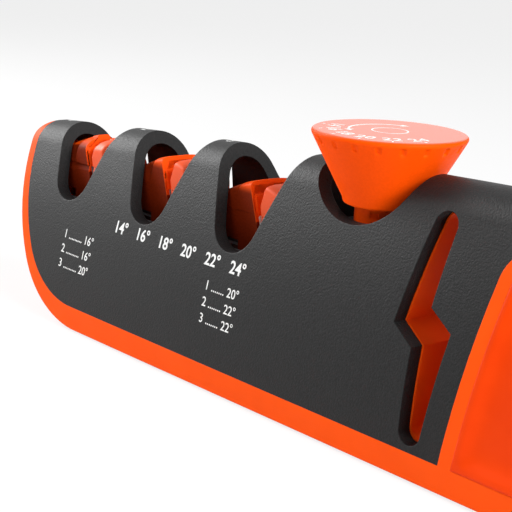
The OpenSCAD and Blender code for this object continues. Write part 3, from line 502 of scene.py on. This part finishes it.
def on_crest(flat, lift):
    """Flat points as X and the way round the crest's arc, read from the front."""
    up = bow_z + np.sqrt(bow_r ** 2 - (flat[:, 0] - bow_x) ** 2) - crest_r
    a = flat[:, 1] / crest_r
    return np.column_stack([flat[:, 0], (crest_r + lift) * np.sin(a), up + (crest_r + lift) * np.cos(a)])


crest_type_h, crest_way = 4.2, 0.5
crest_marks = []
for number, x in (("1", -137.2), ("2", -95.0), ("3", -52.6)):
    flat, faces = letters(number, crest_type_h, slices=12)
    crest_marks.append((flat + np.array([x, crest_way]), faces))
print_on("stage_numbers", crest_marks, "base", on_crest)

line_h, line_step = 2.75, 4.7
row_h, row_x, row_z, row_step = 3.6, -81.5, 36.9, 11.4
table_marks = []
for x, z, dots, column in ((-110.7, 29.6, " ......... ", (16, 16, 20)),
                           (-36.7, 29.9, " ....... ", (20, 22, 22))):
    for n, angle in enumerate(column):
        flat, faces = letters("%d%s%d°" % (n + 1, dots, angle), line_h, "LEFT", 0.02)
        table_marks.append((flat + np.array([x, z - line_step * n]), faces))
for n, angle in enumerate(angles):
    flat, faces = letters("%d°" % angle, row_h, weight=0.09)
    table_marks.append((flat + np.array([row_x + row_step * n, row_z]), faces))
print_on("angle_table", table_marks, "base", on_front)


# Grip pads
# A soft moulded pad fills the recess on each side of the handle. Its face laps
# the edge of the recess and dips smoothly inside it.
pad_orange, start, place, shader = new_material("pad_orange")
fine = start.port("ShaderNodeTexNoise", Vector=place, Scale=1800.0, Detail=2.0)
wave = start.port("ShaderNodeTexNoise", Vector=place, Scale=70.0, Detail=2.0)
join(start, shader, Base_Color=wave.above(0.3, 0.7).blend((0.75, 0.045, 0.0006, 1), (0.79, 0.051, 0.001, 1)),
     Roughness=0.44 + 0.1 * fine, Specular_IOR_Level=0.06,
     Normal=start.port("ShaderNodeBump", Height=fine, Strength=0.2, Distance=0.00004))
handle_r, handle_x, arc_rise = 230.0, 78.0, 0.15
handle_z = bow_z + math.sqrt(bow_r ** 2 - (bow_x - handle_x) ** 2) + arc_rise - handle_r
front_lean, lap, spine_drop, pad_thick = math.radians(7.4), 1.0, 11.5, 3.4
lip = 5.0 - lap
pad_low, pad_end, pad_front_x = 7.82, 127.6 + lap, 58.0 + lip / math.cos(front_lean)
proud, dip_deep, dip_reach, corner_r, edge_soft = 0.03, 1.8, 2.8, 4.0, 1.2
closer_x, closer_z = 0.12, 0.1


def close_plate(face, back, flip):
    """Points and faces of a closed plate: a grid of points for its face, one for its
    back, and a wall round their edge. flip turns every face over."""
    rows, columns = face.shape[:2]
    i, j = np.meshgrid(np.arange(rows - 1), np.arange(columns - 1), indexing="ij")
    a, n = (i * columns + j).ravel(), rows * columns
    front = np.stack([a, a + columns, a + columns + 1, a + 1], -1)
    ring = np.concatenate([np.arange(0, n - columns, columns), np.arange(n - columns, n - 1),
                           np.arange(n - 1, columns - 1, -columns), np.arange(columns - 1, 0, -1)])
    wall = np.stack([ring, ring + n, np.roll(ring, -1) + n, np.roll(ring, -1)], -1)
    tables = [front, front[:, ::-1] + n, wall]
    return (np.concatenate([face.reshape(-1, 3), back.reshape(-1, 3)]),
            *[table[:, ::-1] if flip else table for table in tables])


def pad_side(side):
    """The pad of one side. Across the grid u runs from the leaning front edge to
    the tip and v from the band to the arc under the ridge, with a sine that brings
    the outer rows closer together. The face lies under the skin by a dip that grows
    with the distance from the nearest edge."""
    u = np.linspace(0, 1, 121)[:, None] + np.zeros((1, 61))
    v = np.linspace(0, 1, 61)[None] + np.zeros((121, 1))
    u = u - closer_x * np.sin(2 * np.pi * u) / np.pi
    v = v - closer_z * np.sin(2 * np.pi * v) / np.pi
    edge_r = handle_r - spine_drop - lip
    x = pad_front_x + u * (pad_end - pad_front_x)
    for _ in range(3):
        top = handle_z + np.sqrt(edge_r ** 2 - (x - handle_x) ** 2)
        z = pad_low + v * (top - pad_low)
        front = pad_front_x + (z - pad_low) * math.tan(front_lean)
        x = front + u * (pad_end - front)
    near_x, near_z = np.clip(corner_r - (x - front), 0, None), np.clip(corner_r - (top - z), 0, None)
    push = np.clip(np.hypot(near_x, near_z) - corner_r, 0, None)
    reach = np.maximum(np.hypot(near_x, near_z), 1e-6)
    x, z = x + push * near_x / reach, z - push * near_z / reach
    rim = np.stack([x - front, top - z, pad_end - x, z - pad_low])
    edge = -edge_soft * np.log(np.exp(-np.maximum(rim, 0) / edge_soft).sum(0))
    dip = dip_deep * (1 - np.exp(-(np.clip(edge - lap, 0, None) / dip_reach) ** 1.7)) - proud
    skin = half_width(x, z, 0.0, (handle_x, handle_z), handle_r)
    face = np.stack([x, side * (skin - dip), z], -1)
    back = np.stack([x, side * (skin - pad_thick), z], -1)
    return close_plate(face, back, side > 0)


for side, node in ((-1, "grip_pad_front"), (1, "grip_pad_rear")):
    pad = lay_mesh(node + "_soft", *pad_side(side))
    pad.data.materials.append(pad_orange)
    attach(pad, "base")
    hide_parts(node)


# Holder hoods
# Each holder ends in a moulded hood: its sides stand close inside the shell, its top
# is a low hump, and lips on the face towards the notch keep the abrasive bars in.
# The far end of a right holder is shorter, to stay out of sight under the shell.
head_z, hood_foot, shoulder, wall_share = 58.3, 50.2, 2.5, 0.6
hump_h, hump_fall, hump_from, hump_run = 1.3, 4.0, 3.0, 11.5
hood_gap, hood_wall, head_half, half_soft = 4.7, 0.35, 7.92, 0.25
right_back_z, right_back_slope, right_reach, drawn_in = 53.2, 0.6, 10.0, 0.9
flute_room, flute_half, flute_soft = 2.6, 6.5, 2.5
lip_high, lip_deep, lip_skin, lip_head = 0.34, 0.4, 0.02, 7.6
left_end, left_foot, left_bars = 14.2, 0.8, ((-7.1, -3.8), (3.8, 7.1))
right_end, right_foot, right_bars = 10.9, 2.2, ((-2.7, 2.7),)


def hood_face(stage, side, far, inset):
    """One skin of a hood. u runs from the far end to the edge at the notch, which
    leans by the notch's angle and stands back low on a right holder, and v from the
    front foot over the hump to the rear foot. The half width is the shell's less an
    inset, more in the open flute, and that of the holder below at most. Over the
    shoulder it shrinks to zero along a superellipse. The inner skin's edge at the
    notch is drawn down into the holder."""
    u = np.linspace(0, 1, 41)[:, None] + np.zeros((1, 121))
    v = np.linspace(-1, 1, 121)[None] + np.zeros((41, 1))
    s, deeper = 1 - np.abs(v), inset - hood_gap
    turn_share = np.clip((s - wall_share) / (1 - wall_share), 0, 1) * np.pi / 2
    d = far + u * (hump_from - far)
    for _ in range(4):
        top = (head_z + hump_h - hump_fall * np.clip((d - hump_from) / hump_run, 0, 1) ** 1.4
               - deeper * (1 + 9 * np.clip(2 * u - 1, 0, 1)))
        z = (hood_foot + np.clip(s / wall_share, 0, 1) * (top - shoulder - hood_foot)
             + np.sin(turn_share) ** 0.5 * shoulder)
        back = (side > 0) * np.clip(right_back_z - z, 0, 3) * right_back_slope
        d = far + u * ((z - notch_z) * math.tan(notch_lean) + back - far)
    x = stage_x[stage] + side * d
    open_share = np.clip((flute_half + flute_soft - d) / flute_soft, 0, 1)
    room = half_width(x, z, inset) + flute_room * open_share * open_share * (3 - 2 * open_share)
    wide = -half_soft * np.log(np.exp(-room / half_soft) + np.exp((deeper - head_half) / half_soft))
    return np.stack([x, np.sign(v) * wide * np.clip(np.cos(turn_share), 0, 1) ** 0.5, z], -1)


def bar_lip(stage, side, low_y, high_y, low_up, high_up):
    """A plate on the notch's face over the top of an abrasive bar. a runs along the
    bar's width and b up the leaning face, and the height falls to the face along
    an eighth power near its edges. The back is plane and lies in the holder."""
    a = np.linspace(-1, 1, 15)[:, None] + np.zeros((1, 15))
    b = np.linspace(-1, 1, 15)[None] + np.zeros((15, 1))
    y = (low_y + high_y + a * (high_y - low_y)) / 2
    up = (low_up + high_up + b * (high_up - low_up)) / 2
    proud = lip_skin + lip_high * ((1 - a ** 8) * (1 - b ** 8)) ** 0.5
    cosine, sine = math.cos(notch_lean), math.sin(notch_lean)
    return [np.stack([stage_x[stage] - side * (out * cosine - up * sine), y,
                      notch_z + up * cosine + out * sine], -1) for out in (proud, 0 * proud - lip_deep)]


def shorter_copy(node, stage, reach):
    """A right holder's mesh with its triangles joined, and what lies past reach from
    its stage drawn in by nine tenths."""
    joined = bmesh.new()
    joined.from_mesh(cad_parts[node].data)
    bmesh.ops.remove_doubles(joined, verts=joined.verts, dist=1e-6)
    mesh = bpy.data.meshes.new(node + "_short")
    joined.to_mesh(mesh)
    joined.free()
    points = np.empty(len(mesh.vertices) * 3)
    mesh.vertices.foreach_get("co", points)
    past = np.clip(points[0::3] / MM - stage_x[stage] - reach, 0, None)
    points[0::3] -= drawn_in * past * MM
    mesh.vertices.foreach_set("co", points)
    mesh.set_sharp_from_angle(angle=0.5)
    mesh.update()
    made = bpy.data.objects.new(node + "_short", mesh)
    bpy.context.scene.collection.objects.link(made)
    return made


for stage in range(3):
    for word, side, far, foot, bars in (("left", -1, left_end, left_foot, left_bars),
                                        ("right", 1, right_end, right_foot, right_bars)):
        node = "holder_%s_%d" % (word, stage + 1)
        plates = [close_plate(hood_face(stage, side, far, hood_gap),
                              hood_face(stage, side, far, hood_gap + hood_wall), side > 0)]
        plates += [close_plate(*bar_lip(stage, side, *bar, foot, lip_head), side > 0) for bar in bars]
        starts = np.cumsum([0] + [len(flat) for flat, *_ in plates])
        hood = lay_mesh(node + "_hood", np.concatenate([flat for flat, *_ in plates]),
                        *[table + start for start, (_, *tables) in zip(starts, plates) for table in tables])
        hood.data.set_sharp_from_angle(angle=0.7)
        pieces = [hood]
        if side > 0:
            pieces.append(shorter_copy(node, stage, right_reach))
            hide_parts(node)
        for piece in pieces:
            piece.data.materials.append(holder_orange_painted_shade[word])
            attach(piece, node + "_body")


# Dial spring
# A coil spring of steel wire stands on the bridge round the shaft and lifts the
# collar. Its ends are closed against their seats.
steel, start, place, shader = new_material("steel")
brushed = start.port("ShaderNodeTexNoise", Vector=place, Scale=900.0, Detail=3.0)
join(start, shader, Base_Color=brushed.above(0.3, 0.7).blend((0.50, 0.51, 0.53, 1), (0.64, 0.65, 0.67, 1)),
     Roughness=0.28 + 0.14 * brushed, Metallic=1.0)
coil_low, coil_high, coil_r, wire_r, coils, closed, seat_rise = 36.7, 45.85, 5.2, 0.45, 6, 0.12, 0.15


def coil_tube(steps, sides):
    """A wire carried along a coil. Its height rises evenly but for the closed share
    at each end, where it rises by seat_rise only. Rings of points stand square to
    the coil's run, outwards and sideways, and its two ends are flat."""
    t = np.linspace(0, 1, steps + 1)
    swing = 2 * np.pi * coils * t
    rise = (seat_rise * (np.clip(t / closed, 0, 1) + np.clip((t - 1 + closed) / closed, 0, 1))
            + (coil_high - coil_low - 2 * seat_rise) * np.clip((t - closed) / (1 - 2 * closed), 0, 1))
    middle = np.stack([dial_x + coil_r * np.cos(swing), coil_r * np.sin(swing), coil_low + rise], -1)
    along = np.gradient(middle, axis=0)
    along /= np.linalg.norm(along, axis=1, keepdims=True)
    out = np.stack([np.cos(swing), np.sin(swing), 0 * swing], -1)
    out -= (out * along).sum(1, keepdims=True) * along
    out /= np.linalg.norm(out, axis=1, keepdims=True)
    across = np.cross(along, out)
    phi = np.linspace(0, 2 * np.pi, sides, endpoint=False)[None, :, None]
    tube = middle[:, None] + wire_r * (np.cos(phi) * out[:, None] + np.sin(phi) * across[:, None])
    i, j = np.meshgrid(np.arange(steps), np.arange(sides), indexing="ij")
    k = (j + 1) % sides
    walls = np.stack([i * sides + j, i * sides + k, (i + 1) * sides + k, (i + 1) * sides + j], -1)
    ends = np.array([np.arange(sides)[::-1], steps * sides + np.arange(sides)])
    return tube.reshape(-1, 3), walls.reshape(-1, 4), ends


spring = lay_mesh("dial_coil", *coil_tube(480, 14))
spring.data.materials.append(steel)
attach(spring, "base")
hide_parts("dial_spring")
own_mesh(spring)
for node in ("base_screws", "pivot_pins", "drive_shaft", "shaft_clip"):
    dress(node, steel)


# Inner frame and drive
# Grey glass-filled mouldings: the trough with its bridge, the rack with its cam
# slots, the pinion and the sliding collar. Only seen through the openings.
frame_grey, start, place, shader = new_material("frame_grey")
fibre = start.port("ShaderNodeTexNoise", Vector=place, Scale=1200.0, Detail=3.0)
join(start, shader, Base_Color=fibre.above(0.3, 0.7).blend((0.05, 0.052, 0.055, 1), (0.085, 0.088, 0.092, 1)),
     Roughness=0.5 + 0.15 * fibre)
for node in ("chassis", "cam_rack", "pinion", "detent_collar"):
    dress(node, frame_grey)


# Base cover and soles
# Thin black cover with its ribbed rubber sole, and a small sole under the handle.
plate_black, start, place, shader = new_material("plate_black")
grain = start.port("ShaderNodeTexNoise", Vector=place, Scale=2200.0, Detail=2.0)
join(start, shader, Roughness=0.5 + 0.15 * grain,
     Base_Color=grain.above(0.35, 0.7).blend((0.022, 0.022, 0.023, 1), (0.038, 0.038, 0.039, 1)),
     Normal=start.port("ShaderNodeBump", Height=grain, Strength=0.3, Distance=0.00005))
rubber_black, start, place, shader = new_material("rubber_black")
dust_and_painted_shade = start.port("ShaderNodeTexNoise", Vector=place, Scale=700.0, Detail=4.0)
join(start, shader, Roughness=0.72 + 0.15 * dust_and_painted_shade,
     Base_Color=dust_and_painted_shade.above(0.4, 0.75).blend((0.018, 0.018, 0.018, 1), (0.034, 0.033, 0.032, 1)),
     Normal=start.port("ShaderNodeBump", Height=dust_and_painted_shade, Strength=0.25, Distance=0.00006))
dress("base_plate", plate_black)
dress("rubber_sole", rubber_black)
dress("handle_sole", rubber_black)


# Abrasive bars
# Steel bars with bonded diamond grit, coarse on the first stage and finer on the
# second, and fired ceramic on the third and in the scissors slot.
for name, dark, pale, scale, strength, nodes in (
        ("abrasive_coarse", (0.07, 0.072, 0.078, 1), (0.24, 0.245, 0.26, 1), 3200.0, 0.9,
         ("stone_left_1", "stone_right_1")),
        ("abrasive_medium", (0.16, 0.163, 0.172, 1), (0.36, 0.365, 0.38, 1), 5200.0, 0.6,
         ("stone_left_2", "stone_right_2")),
        ("ceramic", (0.80, 0.785, 0.73, 1), (0.88, 0.87, 0.82, 1), 2400.0, 0.15,
         ("stone_left_3", "stone_right_3", "scissors_rod"))):
    grit, start, place, shader = new_material(name)
    grains = start.port("ShaderNodeTexVoronoi", Vector=place, Scale=scale)
    join(start, shader, Base_Color=grains.above(0.1, 0.8).blend(dark, pale), Roughness=0.4 + 0.25 * grains,
         Normal=start.port("ShaderNodeBump", Height=grains, Strength=strength, Distance=0.00008))
    for node in nodes:
        dress(node, grit)
